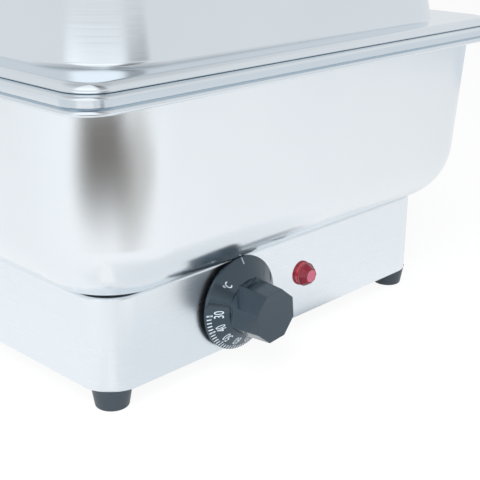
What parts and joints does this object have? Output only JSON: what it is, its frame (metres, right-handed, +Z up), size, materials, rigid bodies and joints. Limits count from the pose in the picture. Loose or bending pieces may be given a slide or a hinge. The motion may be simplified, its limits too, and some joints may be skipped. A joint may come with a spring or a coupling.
{
  "type": "electric chafing dish",
  "caption": "Polished steel electric food warmer: a heated base box carries a deep water pan with a food pan and a hinged domed lid, and a dial knob and pilot lamp on the front.",
  "frame": {"origin": "on the counter under the middle of the base box", "axes": "+X to the right seen from the control panel, +Y from the control panel to the back, along the dish, +Z up"},
  "size_m": [0.357, 0.5552, 0.3164],
  "materials": {
    "polished_steel": "polished stainless sheet",
    "satin_steel": "satin",
    "fastener_steel": "bright",
    "foot_rubber": "matt",
    "aluminium_sheet": "mill finish",
    "black_plastic": "matt",
    "knob_plastic": "satin, with a white printed scale",
    "brass": "bright",
    "red_lens": "clear red",
    "block_ceramic": "unglazed",
    "brown_lead": "satin",
    "green_lead": "satin",
    "blue_lead": "satin"
  },
  "bodies": {
    "base": {"base_housing": "polished_steel", "base_floor": "satin_steel", "floor_screws": "fastener_steel", "foot_front_left": "foot_rubber", "foot_front_right": "foot_rubber", "foot_rear_left": "foot_rubber", "foot_rear_right": "foot_rubber", "foot_screws": "fastener_steel", "foot_nuts": "satin_steel", "water_pan": "polished_steel", "rim_frame": "polished_steel", "food_pan": "polished_steel", "pan_studs": "satin_steel", "pan_nuts": "satin_steel", "heat_spreader": "aluminium_sheet", "heating_element": "satin_steel", "element_pins": "satin_steel", "heater_studs": "satin_steel", "clamp_bars": "satin_steel", "clamp_nuts": "satin_steel", "reflector_spacers": "aluminium_sheet", "heat_reflector": "aluminium_sheet", "reflector_nuts": "satin_steel", "thermal_cutout": "black_plastic", "cutout_screws": "satin_steel", "thermostat_case": "black_plastic", "thermostat_tabs": "brass", "thermostat_screws": "fastener_steel", "sensor_bulb": "brass", "capillary_tube": "brass", "lamp_lens": "red_lens", "lamp_body": "black_plastic", "lamp_nut": "black_plastic", "lamp_tabs": "brass", "inlet_socket": "black_plastic", "inlet_blades": "brass", "inlet_screws": "fastener_steel", "inlet_nuts": "satin_steel", "terminal_block": "block_ceramic", "block_screws": "fastener_steel", "earth_stud": "brass", "earth_lug": "brass", "earth_nut": "brass", "supply_leads": "brown_lead", "earth_lead": "green_lead", "heater_leads": "brown_lead", "control_leads": "blue_lead", "hinge_bracket_front": "satin_steel", "hinge_bracket_rear": "satin_steel", "hinge_pins": "fastener_steel", "bracket_rivets": "fastener_steel"},
    "lid": {"lid": "polished_steel", "hinge_strap_front": "satin_steel", "hinge_strap_rear": "satin_steel", "strap_rivets": "fastener_steel", "lid_handle": "black_plastic", "handle_collars": "fastener_steel", "handle_screws": "fastener_steel"},
    "knob": {"control_knob": "knob_plastic", "thermostat_shaft": "brass"}
  },
  "joints": [
    {"name": "lid_hinge", "type": "hinge", "parent": "base", "child": "lid", "pos_m": [0.17865, 0, 0.18565], "axis": [0, 1, 0], "range_deg": [0, 100]},
    {"name": "knob_turn", "type": "hinge", "parent": "base", "child": "knob", "pos_m": [-0.044, -0.2425, 0.0406], "axis": [0, 1, 0], "range_deg": [0, 240]}
  ]
}
